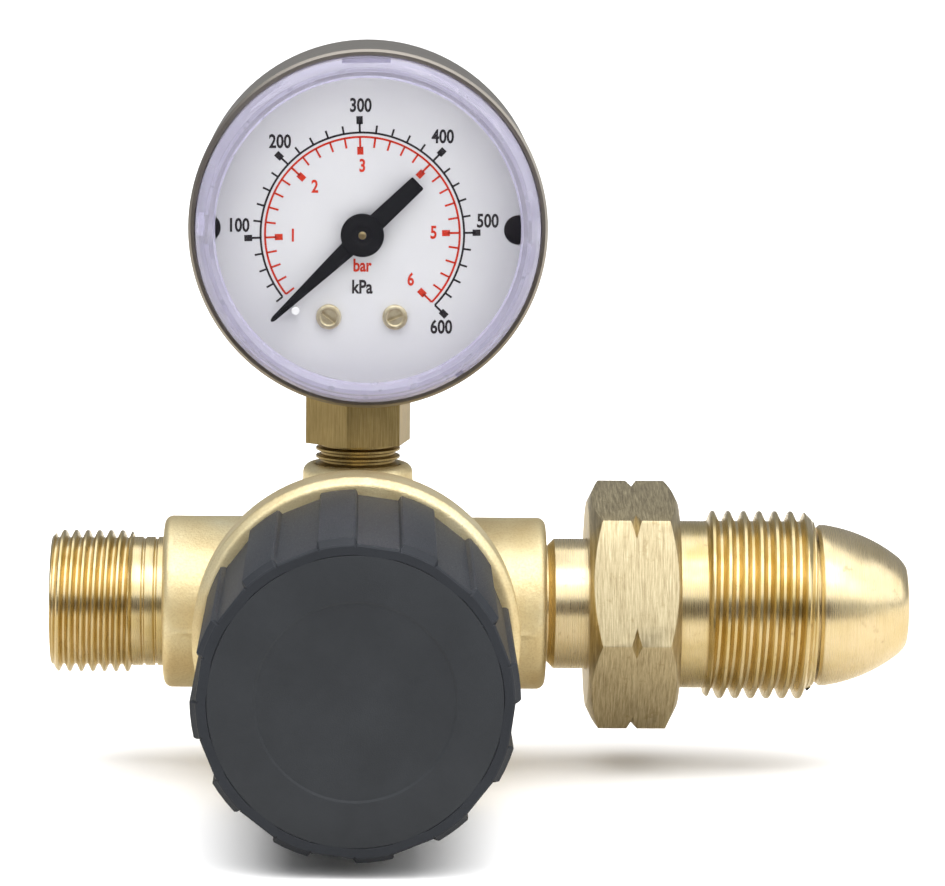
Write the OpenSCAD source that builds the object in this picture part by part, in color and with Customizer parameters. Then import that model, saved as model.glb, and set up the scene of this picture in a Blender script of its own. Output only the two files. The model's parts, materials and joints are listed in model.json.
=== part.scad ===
// Single-stage gas pressure regulator with a bottom-mounted pressure gauge.
// +X points to the inlet, +Z up to the gauge, and the pressure knob faces -Y.
// The origin lies on the inlet axis, half way along the union nut's thread.

/* [Body] */
// Radius of the two side bosses
boss_r = 9.95; // [9.6:0.05:11]
// Distance from the knob axis to the outlet boss face
outlet_face = 22.3; // [21:0.1:24]
// Distance from the knob axis to the inlet boss face
inlet_face = 21.8; // [21:0.1:24]
// Radius of the diaphragm chamber
chamber_r = 18.3; // [17.4:0.1:19]
// Distance from the pipe axis to the chamber's front face
chamber_front = 25.5; // [25:0.1:27]
// Radius of the gauge boss
gauge_boss_r = 6.35; // [6.2:0.05:7]
// Height of the gauge boss above the pipe axis
gauge_boss_top = 16.4; // [16:0.1:17]

/* [Connections] */
// Crest radius of the outlet thread (3/8 inch pipe thread)
outlet_thread_r = 8.2; // [8.1:0.05:8.4]
// Distance from the knob axis to the end of the outlet
outlet_end = 35.3; // [34:0.1:37]
// Length of the outlet thread
outlet_thread_l = 9.4; // [8:0.1:10]
// Crest radius of the inlet nut thread (21.8 mm, 14 threads per inch)
inlet_thread_r = 10.9; // [10.8:0.05:11.5]
// Distance from the knob axis to the outer end of the nut
nut_end = 53; // [52:0.1:56]
// Length of the inlet nut thread
inlet_thread_l = 12.7; // [11:0.1:14]
// Width across the flats of the union nut
nut_af = 25.4; // [25:0.05:28]
// Length of the bullnose in front of its shoulder
nose_l = 10.55; // [9.5:0.05:11]
// Radius of the bullnose at its shoulder
nose_r = 9.35; // [9:0.05:10]

/* [Knob] */
// Outer radius of the grip pads
knob_r = 17.25; // [16.8:0.05:17.5]
// Length of the knob
knob_l = 35.3; // [33:0.1:36]
// Number of grip pads
pad_count = 12; // [8:1:16]
// Turns of the knob between its stops
knob_turns = 5; // [3:1:5]
// Pitch of the spindle thread
spindle_pitch = 1.25; // [1:0.25:1.5]

/* [Gauge] */
// Height of the pointer axis above the pipe axis
gauge_z = 43.8; // [43:0.1:46]
// Outer radius of the gauge case
case_r = 20.1; // [20:0.1:21]
// Distance from the stem axis to the back of the case
case_back = 9.5; // [9:0.1:10]
// Distance from the stem axis to the front of the case rim
case_front = 13.9; // [13.5:0.1:14.5]
// Sideways set of the pointer axis from the stem axis
gauge_side = 0.35; // [0:0.05:0.5]
// Sideways set of the case from the pointer axis
case_side = 0.65; // [0:0.05:0.8]
// Upward set of the case from the pointer axis
case_rise = 0.95; // [0:0.05:1]
// Width across the flats of the gauge socket
socket_af = 11; // [10.5:0.5:12]

/* [Hidden] */

$fn = 96;
e = 0.05;                                   // overshoot of cutting solids
fit = 0.05;                                 // radial clearance of a running fit
seam = 0.01;                                // radial clearance of a soldered or pressed joint
outlet_pitch = 1.337;
inlet_pitch = 1.814;
thread_depth = 0.64;                        // depth of a pipe thread per millimetre of pitch
origin_x = nut_end - inlet_thread_l / 2;    // from the knob axis to the origin

forged_brass = [0.86, 0.74, 0.44];
turned_brass = [0.84, 0.68, 0.42];
olive_brass = [0.50, 0.42, 0.20];
steel = [0.62, 0.61, 0.60];
black_plastic = [0.16, 0.17, 0.19];
rubber = [0.10, 0.10, 0.10];

// Inlet stem and nut
socket_r = 6.4;                             // bores of the body that take the stem and the nipple
stem_r = 7.55;
stem_neck_r = 6.75;
stem_socket_l = 9;
flow_r = 2.5;
shoulder = nut_end + 0.3;
nose_tip = shoulder + nose_l;
nose_tip_r = 4.6;
nose_arc_r = 18;
nose_arc = [8, 38.5];                       // angles between which the nose curves
nose_centre = [nose_r - nose_arc_r * cos(nose_arc[0]), shoulder - 1.5];
filter_r = 3.2;
filter_l = 3;
filter_seat = nose_tip - 5;
nut_shank_r = 9.7;
nut_hex_l = 10.5;
nut_shank_l = 3.2;
nut_start = nut_end - inlet_thread_l - nut_shank_l - nut_hex_l;
nut_turn = 10;                              // degrees from corner-up, about the inlet axis
nut_face_r = 11.9;                          // where the end chamfers of the hexagon begin
nut_chamfer_slope = 0.5;
notch_r = 13.7;                             // bottom of the groove round the hexagon
notch_w = 0.62;                             // half width of the groove at the corners

// Outlet nipple
nipple_r = 7.48;
nipple_socket_l = 8;
nipple_bore_r = 4;
nipple_chamfer = 2;

// Chamber, from its front face backwards
bonnet_thread_r = 15;
bonnet_seat = 20;
chamber_bore_r = 12;
chamber_floor = 16.5;
flange_back = 19.2;
neck_r = 13.5;
body_back = 12.5;
diaphragm_t = 1;
slip_ring_t = 0.5;
bonnet_foot = bonnet_seat + diaphragm_t + slip_ring_t;

// Valve, along the knob axis
nozzle_r = 5;
nozzle_back = 9;
nozzle_front = 17.3;
nozzle_bore_r = 1.3;
pocket_r = 3.6;
pocket_end = 6;
pin_r = 0.7;
poppet_r = 2.8;
poppet_back = 5;
pad_r = 2.2;                                // soft pad that seals against the nozzle
pad_back = nozzle_back - 2.2;
pad_front = nozzle_back - 0.6;
inlet_passage_r = 2.2;
outlet_passage_r = 2.4;
outlet_drop_x = 8.6;
outlet_drop_r = 1.9;
gauge_drop_z = 8.4;
gauge_drop_r = 1.1;
gauge_passage_r = 1.4;
gauge_seat = gauge_drop_z + 1.2;
gauge_washer_t = 0.8;
gauge_thread_r = 4.864;
gauge_pitch = 0.907;

// Spring, spindle and bonnet
housing_r = 12.2;
housing_bore_r = 9.8;
housing_front = 50;
bonnet_front = 53;
spring_wire_r = 0.85;
spring_r = 7.1;
spring_turns = 7;
guide_w = 2.4;                              // width of the two tabs that guide the spring carrier
guide_r = 10.8;                             // reach of the tabs
plate_t = 1.2;
plate_r = 9.2;
plate_boss_r = 5.6;
plate_boss_l = 1.4;
plate_front = bonnet_seat + diaphragm_t + plate_t;
rivet_r = 2;
carrier_back = 41.6;
carrier_t = 2.4;
spindle_r = 3.9;
collar_r = 6.2;
collar_t = 1.2;
washer_t = 0.8;
spindle_back = 29.5;
spindle_front = 57.5;
drive_af = 6.6;                             // hexagon that drives the knob
drive_l = 4.5;
screw_r = 1.5;

// Knob shell
knob_rear = chamber_front + 0.9;
knob_front = knob_rear + knob_l;
knob_base_r = knob_r - 0.6;
knob_bore_r = 13.6;
knob_web = 53.4;
cap_r = 15.5;
cap_t = 2;
dish_r = 10.4;
pad_angle = 13.5;
pad_offset = 7;

// Gauge, front positions measured forwards from the stem axis
case_wall = 0.6;
case_x = gauge_side + case_side;
case_z = gauge_z + case_rise;
dial_front = 9.5;
dial_t = 0.5;
dial_r = 19;
lens_r = 19.3;
lens_front = 16.5;
window_r = 17.1;
window_t = 1.6;
block_front = 3.2;
plate_sheet = 0.8;
back_plate_front = block_front + plate_sheet;
front_plate_front = 8;
screw_x = 3.75;
screw_drop = 9.4;
top_pillar = [4.2, 2.6];
arbor_r = 0.45;
pinion_r = 1.6;
sector_r = 8;
sector_at = [-7.3, 6.2];
tail_l = 3;
tail_end = sector_at + tail_l * [cos(150), sin(150)];
tip_at = [-13, -2.2];
tube_r = 13.6;
tube_start = -68;
tube_end = 184;
stop_at = [-7.5, -8.6];
stop_r = 0.33;
dial_notch_at = [17.7, 0.6];

// ---- helpers ----

// Moves a piece from the knob axis to the part's origin
module place() {
    translate([-origin_x, 0, 0]) children();
}

// Child's +Z becomes the direction towards the knob, starting y in front of the pipe axis
module forward(y = 0) {
    translate([0, -y, 0]) rotate([90, 0, 0]) children();
}

// Child's +Z becomes the direction towards the inlet
module inward(x = 0) {
    translate([x, 0, 0]) rotate([0, 90, 0]) children();
}

// Child's +Z becomes the direction towards the outlet
module outward(x = 0) {
    translate([-x, 0, 0]) rotate([0, -90, 0]) children();
}

// Round bar along +Z from z0 to z1
module bar(r, z0, z1) {
    translate([0, 0, z0]) cylinder(r = r, h = z1 - z0);
}

// Round tube along +Z from z0 to z1
module pipe(r, bore, z0, z1) {
    difference() {
        bar(r, z0, z1);
        bar(bore, z0 - e, z1 + e);
    }
}

// Solid of revolution from [radius, height] points
module turned(points) {
    rotate_extrude() polygon(points);
}

// Points of an arc about [cx, cy]
function arc(cx, cy, r, a0, a1, steps = 6) =
    [for (i = [0:steps]) let (a = a0 + (a1 - a0) * i / steps) [cx + r * cos(a), cy + r * sin(a)]];

// Bar with a rounded far edge
module rounded_bar(r, length, edge) {
    turned(concat([[0, 0], [r, 0]], arc(r - edge, length - edge, edge, 0, 90), [[0, length]]));
}

// Male thread drawn as separate ridges, with flat crests at radius r
module ridges(r, pitch, length, bore) {
    depth = thread_depth * pitch;
    count = floor(length / pitch);
    profile = concat(
        [[bore, 0], [r - depth, 0]],
        [for (i = [0:count - 1], p = [[0.12, 1], [0.38, 0], [0.62, 0], [0.88, 1]])
            [r - depth * p[1], (i + p[0]) * pitch]],
        [[r - depth, length], [bore, length]]
    );
    turned(profile);
}

// Regular prism with an even number of sides across the flats af
module prism(af, h, sides = 6) {
    cylinder(r = af / 2 / cos(180 / sides), h = h, $fn = sides);
}

// Helical coil of round wire along +Z, its ends plain
module coil(r, wire, z0, z1, turns, steps = 18, sides = 8) {
    count = turns * steps;
    points = [for (i = [0:count], j = [0:sides - 1])
        let (a = 360 * i / steps, b = 360 * j / sides, q = r + wire * cos(b))
        [q * cos(a), q * sin(a), z0 + wire + (z1 - z0 - 2 * wire) * i / count + wire * sin(b)]];
    skin = [for (i = [0:count - 1], j = [0:sides - 1]) let (k = (j + 1) % sides)
        [i * sides + j, (i + 1) * sides + j, (i + 1) * sides + k, i * sides + k]];
    start = [for (j = [0:sides - 1]) j];
    end = [for (j = [sides - 1:-1:0]) count * sides + j];
    polyhedron(points, concat(skin, [start, end]), convexity = 10);
}

// Child drawn about the pointer axis, its +Z towards the knob side
module on_gauge(y = 0, at = [0, 0]) {
    translate([gauge_side + at[0], -y, gauge_z + at[1]]) rotate([90, 0, 0]) children();
}

// Child drawn about the case axis
module on_case(y = 0) {
    translate([case_x, -y, case_z]) rotate([90, 0, 0]) children();
}

// ---- body and connections ----

module body_outside() {
    inward() turned(concat(
        [[0, -outlet_face]],
        arc(boss_r - 1, 1 - outlet_face, 1, -90, 0),
        arc(boss_r - 1, inlet_face - 1, 1, 0, 90),
        [[0, inlet_face]]
    ));
    forward() turned(concat(
        [[0, -body_back], [9.5, -body_back], [12, -body_back + 2], [neck_r, -4],
         [neck_r, 12], [chamber_r - 1.2, flange_back]],
        arc(chamber_r - 0.8, flange_back + 0.8, 0.8, -90, 0, 3),
        [[chamber_r, chamber_front - 0.4], [chamber_r - 0.4, chamber_front], [0, chamber_front]]
    ));
    rounded_bar(gauge_boss_r, gauge_boss_top, 1);
}

module body_passages() {
    forward() bar(bonnet_thread_r, bonnet_seat, chamber_front + e);
    forward() bar(chamber_bore_r, chamber_floor, bonnet_seat + e);
    forward() bar(nozzle_r, nozzle_back, chamber_floor + e);
    forward() bar(pocket_r, -pocket_end, nozzle_back + e);
    inward() bar(socket_r, inlet_face - stem_socket_l, inlet_face + e);
    inward() bar(inlet_passage_r, 0, inlet_face);
    outward() bar(socket_r, outlet_face - nipple_socket_l, outlet_face + e);
    outward() bar(outlet_passage_r, outlet_drop_x - 3, outlet_face);
    translate([-outlet_drop_x, 0, 0]) forward() bar(outlet_drop_r, -1, chamber_floor + e);
    bar(gauge_thread_r + fit, gauge_seat, gauge_boss_top + e);
    bar(gauge_passage_r, gauge_drop_z - 0.5, gauge_seat + gauge_washer_t);
    translate([0, 0, gauge_drop_z]) forward() bar(gauge_drop_r, -0.9, chamber_floor + e);
}

module body() color(forged_brass) place() {
    difference() {
        body_outside();
        body_passages();
    }
}

module outlet_nipple() color(turned_brass) place() {
    thread_in = outlet_end - outlet_thread_l;
    back = outlet_face - nipple_socket_l;
    bore_end = outlet_end - nipple_chamfer;
    outward() difference() {
        union() {
            bar(socket_r - seam, back, outlet_face);
            bar(nipple_r, outlet_face, thread_in);
            translate([0, 0, thread_in])
                ridges(outlet_thread_r, outlet_pitch, outlet_thread_l, 0);
        }
        bar(nipple_bore_r, back - e, bore_end + e);
        translate([0, 0, bore_end])
            cylinder(r1 = nipple_bore_r, r2 = nipple_bore_r + nipple_chamfer + e, h = nipple_chamfer + e);
    }
}

module inlet_stem() color(turned_brass) place() {
    back = inlet_face - stem_socket_l;
    inward() difference() {
        turned(concat(
            [[0, back], [socket_r - seam, back], [socket_r - seam, inlet_face],
             [stem_neck_r, inlet_face], [stem_r, inlet_face + 1], [stem_r, shoulder],
             [nose_r - 0.35, shoulder], [nose_r, shoulder + 0.4]],
            arc(nose_centre[0], nose_centre[1], nose_arc_r, nose_arc[0], nose_arc[1], 10),
            [[nose_tip_r + 0.6, nose_tip - 0.45], [nose_tip_r, nose_tip], [0, nose_tip]]
        ));
        bar(flow_r, back - e, nose_tip + e);
        bar(filter_r, filter_seat, nose_tip + e);
    }
}

module inlet_filter() color([0.62, 0.45, 0.25]) place() {
    inward() bar(filter_r, filter_seat, filter_seat + filter_l);
}

module nut_hexagon() {
    // Hexagon whose ends are both chamfered, with a turned groove that notches its corners
    rim_r = nut_af / 2 / cos(30) + 0.3;
    chamfer = nut_chamfer_slope * (rim_r - nut_face_r);
    middle = nut_hex_l / 2;
    groove_w = notch_w * (rim_r - notch_r) / (rim_r - 0.3 - notch_r);
    difference() {
        intersection() {
            rotate(90 + nut_turn) prism(nut_af, nut_hex_l);
            turned([[0, 0], [nut_face_r, 0], [rim_r, chamfer],
                    [rim_r, nut_hex_l - chamfer], [nut_face_r, nut_hex_l], [0, nut_hex_l]]);
        }
        turned([[notch_r, middle], [rim_r, middle - groove_w], [rim_r, middle + groove_w]]);
    }
}

module inlet_nut() color(turned_brass) place() {
    thread_in = nut_end - inlet_thread_l;
    inward() difference() {
        union() {
            translate([0, 0, nut_start]) nut_hexagon();
            bar(nut_shank_r, nut_start + nut_hex_l, thread_in);
            translate([0, 0, thread_in]) ridges(inlet_thread_r, inlet_pitch, inlet_thread_l, 0);
        }
        bar(stem_r + fit, nut_start - e, nut_end + e);
    }
}

// ---- diaphragm, spring and bonnet ----

module bonnet() color([0.72, 0.66, 0.48]) place() {
    forward() difference() {
        turned([[0, bonnet_foot], [bonnet_thread_r - fit, bonnet_foot],
                [bonnet_thread_r - fit, chamber_front - 0.6], [housing_r, chamber_front + 0.4],
                [housing_r, bonnet_front - 1], [housing_r - 1, bonnet_front], [0, bonnet_front]]);
        bar(housing_bore_r, bonnet_foot - e, housing_front);
        bar(spindle_r + fit, housing_front - e, bonnet_front + e);
        // Two slots that keep the spring carrier from turning
        for (side = [0, 180]) rotate(side)
            translate([guide_r - 2, -guide_w / 2 - 0.1, bonnet_foot - e])
                cube([2.2, guide_w + 0.2, carrier_back + carrier_t + 2 - bonnet_foot]);
        // Recess for the plate of the diaphragm
        bar(11.6, bonnet_foot - e, bonnet_foot + 2);
    }
}

module slip_ring() color(turned_brass) place() {
    forward() pipe(bonnet_thread_r - 0.1, chamber_bore_r + 0.2, bonnet_seat + diaphragm_t, bonnet_foot);
}

module diaphragm() color(rubber) place() {
    forward() pipe(bonnet_thread_r - 0.1, rivet_r, bonnet_seat, bonnet_seat + diaphragm_t);
}

module diaphragm_plate() color(turned_brass) place() {
    forward() difference() {
        union() {
            bar(plate_r, bonnet_seat + diaphragm_t, plate_front);
            bar(plate_boss_r, plate_front, plate_front + plate_boss_l);
        }
        bar(rivet_r, bonnet_seat, plate_front + plate_boss_l + e);
    }
}

module diaphragm_button() color(turned_brass) place() {
    forward() {
        bar(5, bonnet_seat - 1, bonnet_seat);
        bar(rivet_r, bonnet_seat, plate_front + plate_boss_l);
        bar(rivet_r + 0.9, plate_front + plate_boss_l, plate_front + plate_boss_l + 0.6);
    }
}

module main_spring() color(steel) place() {
    forward() coil(spring_r, spring_wire_r, plate_front, carrier_back, spring_turns);
}

module spring_carrier() color(turned_brass) place() {
    forward() difference() {
        union() {
            bar(housing_bore_r - 0.3, carrier_back, carrier_back + carrier_t);
            bar(spring_r - spring_wire_r - 0.45, carrier_back - 2.5, carrier_back);
            for (side = [0, 180]) rotate(side)
                translate([8.5, -guide_w / 2, carrier_back]) cube([guide_r - 8.5, guide_w, carrier_t]);
        }
        bar(spindle_r + fit, carrier_back - 3, carrier_back + carrier_t + e);
    }
}

module spindle() color(steel) place() {
    forward() difference() {
        union() {
            bar(spindle_r, spindle_back, spindle_front - drive_l);
            bar(collar_r, housing_front - washer_t - collar_t, housing_front - washer_t);
            translate([0, 0, spindle_front - drive_l]) prism(drive_af, drive_l);
        }
        bar(screw_r, spindle_front - 8, spindle_front + e);
    }
}

module thrust_washer() color(steel) place() {
    forward() pipe(7.5, spindle_r + fit, housing_front - washer_t, housing_front);
}

// ---- knob ----

module knob_grip(r) {
    // Base with a flat between neighbouring pads
    step = 360 / pad_count;
    half = pad_angle / 2;
    polygon([for (i = [0:pad_count - 1], p = [[-half - 0.6, r - 0.6], [-half, r], [-half / 3, r + 0.04],
                                             [half / 3, r + 0.04], [half, r], [half + 0.6, r - 0.6]])
        let (a = -90 + pad_offset + i * step + p[0]) [p[1] * cos(a), p[1] * sin(a)]]);
}

module knob() color(black_plastic) place() {
    forward() difference() {
        union() {
            translate([0, 0, knob_rear]) linear_extrude(knob_l - 0.8) knob_grip(knob_r);
            translate([0, 0, knob_front - 0.8]) linear_extrude(0.8) circle(r = knob_base_r - 0.2);
        }
        bar(knob_bore_r, knob_rear - e, knob_web);
        bar(cap_r, knob_front - cap_t, knob_front + e);
        bar(6.5, spindle_front + 0.2, knob_front);
        translate([0, 0, knob_web - e]) prism(drive_af + 0.1, spindle_front + 0.3 - knob_web);
    }
}

module knob_cap() color(black_plastic) place() {
    forward() difference() {
        bar(cap_r - 0.05, knob_front - cap_t, knob_front);
        bar(dish_r, knob_front - 0.25, knob_front + e);
    }
}

module knob_screw() color(steel) place() {
    forward() difference() {
        union() {
            bar(screw_r, spindle_front - 7, spindle_front + 0.2);
            bar(4.5, spindle_front + 0.2, spindle_front + 0.8);
            bar(3, spindle_front + 0.8, spindle_front + 1.1);
        }
        translate([-3.5, -0.4, spindle_front + 0.8]) cube([7, 0.8, 1]);
    }
}

// ---- valve ----

module valve_nozzle() color(turned_brass) place() {
    forward() difference() {
        union() {
            bar(nozzle_r - seam, nozzle_back, chamber_floor);
            translate([0, 0, chamber_floor]) prism(8, nozzle_front - chamber_floor);
            bar(2, pad_front, nozzle_back);
        }
        bar(nozzle_bore_r, nozzle_back - 1, nozzle_front + e);
    }
}

module poppet() color(turned_brass) place() {
    forward() {
        pipe(poppet_r, pad_r, pad_back, pad_front);
        bar(poppet_r, nozzle_back - poppet_back, pad_back);
        bar(1.6, nozzle_back - poppet_back - 2, nozzle_back - poppet_back);
        bar(pin_r, pad_back, bonnet_seat - 1);
    }
}

module seat_pad() color(rubber) place() {
    forward() pipe(pad_r, pin_r, pad_back, pad_front);
}

module poppet_spring() color(steel) place() {
    forward() coil(2.3, 0.3, -pocket_end, nozzle_back - poppet_back, 6, 12, 6);
}

// ---- gauge ----

module gauge_washer() color([0.45, 0.20, 0.16]) place() {
    pipe(gauge_thread_r - 0.1, 1.6, gauge_seat, gauge_seat + gauge_washer_t);
}

module gauge_socket() color(olive_brass) place() {
    low = gauge_seat + gauge_washer_t;
    thread_top = 18.9;
    hex_top = 27;
    block_low = 26.8;
    difference() {
        union() {
            translate([0, 0, low]) ridges(gauge_thread_r, gauge_pitch, thread_top - low, 0);
            translate([0, 0, thread_top]) rotate(90 - 11.5) prism(socket_af, hex_top - thread_top);
            translate([-6.2, -block_front, block_low]) cube([12.4, block_front + 5, 11.2]);
        }
        bar(1.2, low - e, hex_top + 6);
        // Slot for the fixed end of the pressure tube
        translate([2.4, -0.1, hex_top + 3]) cube([5, 4.2, 12]);
        translate([0, 1, hex_top + 4.5]) inward() bar(0.6, 0, 3);
        for (side = [-1, 1]) on_gauge(0, [side * screw_x, -screw_drop]) bar(0.9, 1, block_front + e);
    }
}

module gauge_case() color(steel) place() {
    difference() {
        on_case() turned(concat(
            [[0, -case_back]],
            arc(case_r - 2, -case_back + 2, 2, -90, 0),
            [[case_r, case_front - 3.2], [case_r + 0.1, case_front - 2.6], [case_r + 0.1, case_front - 0.3],
             [case_r - 0.2, case_front], [0, case_front]]
        ));
        on_case() turned(concat(
            [[0, -case_back + case_wall]],
            arc(case_r - 2, -case_back + 2, 2 - case_wall, -90, 0),
            [[case_r - case_wall, case_front + e], [0, case_front + e]]
        ));
        // Opening for the socket
        translate([0, 0, 20]) rotate(90 - 11.5) prism(socket_af + 0.2, 12);
    }
}

module gauge_lens() color([0.80, 0.78, 0.92, 0.45]) place() {
    shelf = dial_front;
    on_case() difference() {
        turned([[0, shelf], [lens_r, shelf], [lens_r, case_front + 0.2], [lens_r - 0.2, lens_front - 1],
                [lens_r - 1.2, lens_front], [0, lens_front]]);
        bar(window_r + 0.9, shelf - e, lens_front - window_t);
        translate([0, 0, lens_front - 0.5]) cylinder(r1 = window_r, r2 = window_r + 0.6, h = 0.6);
    }
}

module dial() color([0.95, 0.95, 0.96]) place() {
    back = dial_front - dial_t;
    difference() {
        on_case() bar(dial_r, back, dial_front);
        on_gauge() bar(1.4, back - e, dial_front + e);
        for (side = [-1, 1]) on_gauge(0, [side * screw_x, -screw_drop]) bar(1.05, back - e, dial_front + e);
        on_gauge(0, stop_at) bar(stop_r + 0.02, back - e, dial_front + e);
        for (side = [-1, 1]) on_gauge(0, [side * dial_notch_at[0], dial_notch_at[1]])
            bar(1.7, back - e, dial_front + e);
    }
}

module dial_screws() color([0.80, 0.72, 0.50]) place() {
    for (side = [-1, 1]) on_gauge(0, [side * screw_x, -screw_drop]) difference() {
        union() {
            bar(0.85, 1.4, dial_front);
            bar(1.4, dial_front, dial_front + 0.6);
        }
        rotate(-40) translate([-2, -0.2, dial_front + 0.25]) cube([4, 0.4, 1]);
    }
}

module stop_pin() color([0.95, 0.95, 0.95]) place() {
    on_gauge(0, stop_at) {
        bar(stop_r, dial_front - dial_t, dial_front);
        bar(0.45, dial_front, dial_front + 1.5);
    }
}

module pointer() color([0.05, 0.05, 0.05]) place() {
    tip = [-10.2, -9.7];
    reach = norm(tip);
    on_gauge(dial_front + 1.2) rotate(atan2(tip[1], tip[0])) difference() {
        union() {
            linear_extrude(0.4) {
                polygon([[0, 1.1], [reach - 0.4, 0.14], [reach, 0], [reach - 0.4, -0.14], [0, -1.1]]);
                polygon([[0, 0.85], [-7.6, 0.85], [-8.2, 0.5], [-8.2, -0.5], [-7.6, -0.85], [0, -0.85]]);
            }
            bar(2.4, -0.3, 0.4);
        }
        bar(arbor_r, -1, 1);
    }
}

module plate_outline() {
    polygon([[-5.4, -11.2], [5.4, -11.2], [5.6, 4.6], [1.5, 6.2], [-5.2, 9.0], [-9.0, 8.8], [-9.4, 5.2],
             [-5.6, 1.0]]);
}

module movement_plate(front) {
    difference() {
        on_gauge(front - plate_sheet) linear_extrude(plate_sheet) plate_outline();
        for (side = [-1, 1])
            on_gauge(0, [side * screw_x, -screw_drop]) bar(0.9, front - 2, front + 1);
        on_gauge() bar(arbor_r + fit, front - 2, front + 1);
        on_gauge(0, sector_at) bar(0.55, front - 2, front + 1);
    }
}

module movement_back_plate() color(turned_brass) place() {
    movement_plate(back_plate_front);
}

module movement_front_plate() color(turned_brass) place() {
    movement_plate(front_plate_front);
}

module movement_pillars() color(turned_brass) place() {
    gap_front = front_plate_front - plate_sheet;
    for (side = [-1, 1]) on_gauge(0, [side * screw_x, -screw_drop]) {
        pipe(1.5, 0.9, back_plate_front, gap_front);
        pipe(1.5, 0.9, front_plate_front, dial_front - dial_t);
    }
    on_gauge(0, top_pillar) bar(0.9, back_plate_front, gap_front);
}

// Disc or sector with straight-sided teeth between two angles
module teeth(r, count, first, last, pitch_angle) {
    polygon(concat([[0, 0]], [for (i = [0:count - 1], p = [[0, -0.3], [0.22, 0.3], [0.48, 0.3], [0.7, -0.3]])
        let (a = first + pitch_angle * (i + p[0]), q = r + p[1]) [q * cos(a), q * sin(a)]]));
}

module pinion() color(turned_brass) place() {
    on_gauge() {
        bar(arbor_r, block_front + 0.1, dial_front + 1.6);
        translate([0, 0, 5.2]) linear_extrude(1.4) circle(r = pinion_r - 0.45);
        translate([0, 0, 5.2]) linear_extrude(1.4) for (i = [0:11]) rotate(i * 30 + 4)
            translate([pinion_r - 0.6, -0.17]) square([0.55, 0.34]);
    }
}

module sector() color(turned_brass) place() {
    on_gauge(0, sector_at) {
        bar(0.5, block_front + 0.1, front_plate_front);
        bar(1.3, 5.3, 6.5);
        translate([0, 0, 5.5]) linear_extrude(0.8) {
            teeth(sector_r - 0.45, 12, 262, 324, 5.5);
            rotate(150) translate([0, -0.7]) square([tail_l + 0.7, 1.4]);
        }
        rotate(150) translate([tail_l, 0, 0]) bar(0.35, 4.5, 6.3);
    }
}

// Points of a flat spiral, moved outwards by grow
function spiral(turns, steps, grow) = [for (i = [0:steps])
    let (a = 360 * turns * i / steps, r = 0.9 + 1.5 * i / steps + grow) [r * cos(a), r * sin(a)]];

module hairspring() color([0.75, 0.72, 0.66]) place() {
    steps = 70;
    inner = spiral(3.5, steps, -0.05);
    outer = spiral(3.5, steps, 0.05);
    on_gauge(4.3) linear_extrude(0.4)
        polygon(concat(outer, [for (i = [steps:-1:0]) inner[i]]));
}

module link() color(turned_brass) place() {
    rise = tail_end - tip_at;
    on_gauge(4.5, tip_at) rotate(atan2(rise[1], rise[0])) difference() {
        union() {
            translate([0, -0.5, 0]) cube([norm(rise), 1, 0.4]);
            bar(1, 0, 0.4);
            translate([norm(rise), 0, 0]) bar(1.2, 0, 0.4);
        }
        bar(0.4, -e, 1);
        translate([norm(rise), 0, 0]) bar(0.75, -e, 1);
    }
}

module tube_tip() color(turned_brass) place() {
    on_gauge() {
        rotate(tube_end) translate([tube_r - 1.2, 0, -4.2]) cube([2.4, 2.6, 4.4]);
        translate([tip_at[0], tip_at[1], 0]) bar(0.38, 0.2, 5);
    }
}

module bourdon_tube() color(turned_brass) place() {
    on_gauge() translate([0, 0, -4]) rotate(tube_start) rotate_extrude(angle = tube_end - tube_start)
        translate([tube_r - 0.8, 0]) difference() {
            square([1.6, 4]);
            translate([0.3, 0.4]) square([1, 3.2]);
        }
}

body();
outlet_nipple();
inlet_stem();
inlet_nut();
inlet_filter();
bonnet();
slip_ring();
diaphragm();
diaphragm_plate();
diaphragm_button();
main_spring();
spring_carrier();
spindle();
thrust_washer();
knob();
knob_cap();
knob_screw();
valve_nozzle();
poppet();
seat_pad();
poppet_spring();
gauge_washer();
gauge_socket();
gauge_case();
gauge_lens();
dial();
dial_screws();
stop_pin();
pointer();
movement_back_plate();
movement_front_plate();
movement_pillars();
pinion();
sector();
hairspring();
link();
tube_tip();
bourdon_tube();
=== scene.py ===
"""Looks of a gas pressure regulator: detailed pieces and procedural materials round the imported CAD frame.

Each piece is drawn in millimetres about its own axis, then set into the frame, which is in metres.
"""
import itertools
import json
import math

import bmesh
import bpy
import numpy as np
from mathutils import Matrix, Vector


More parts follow.
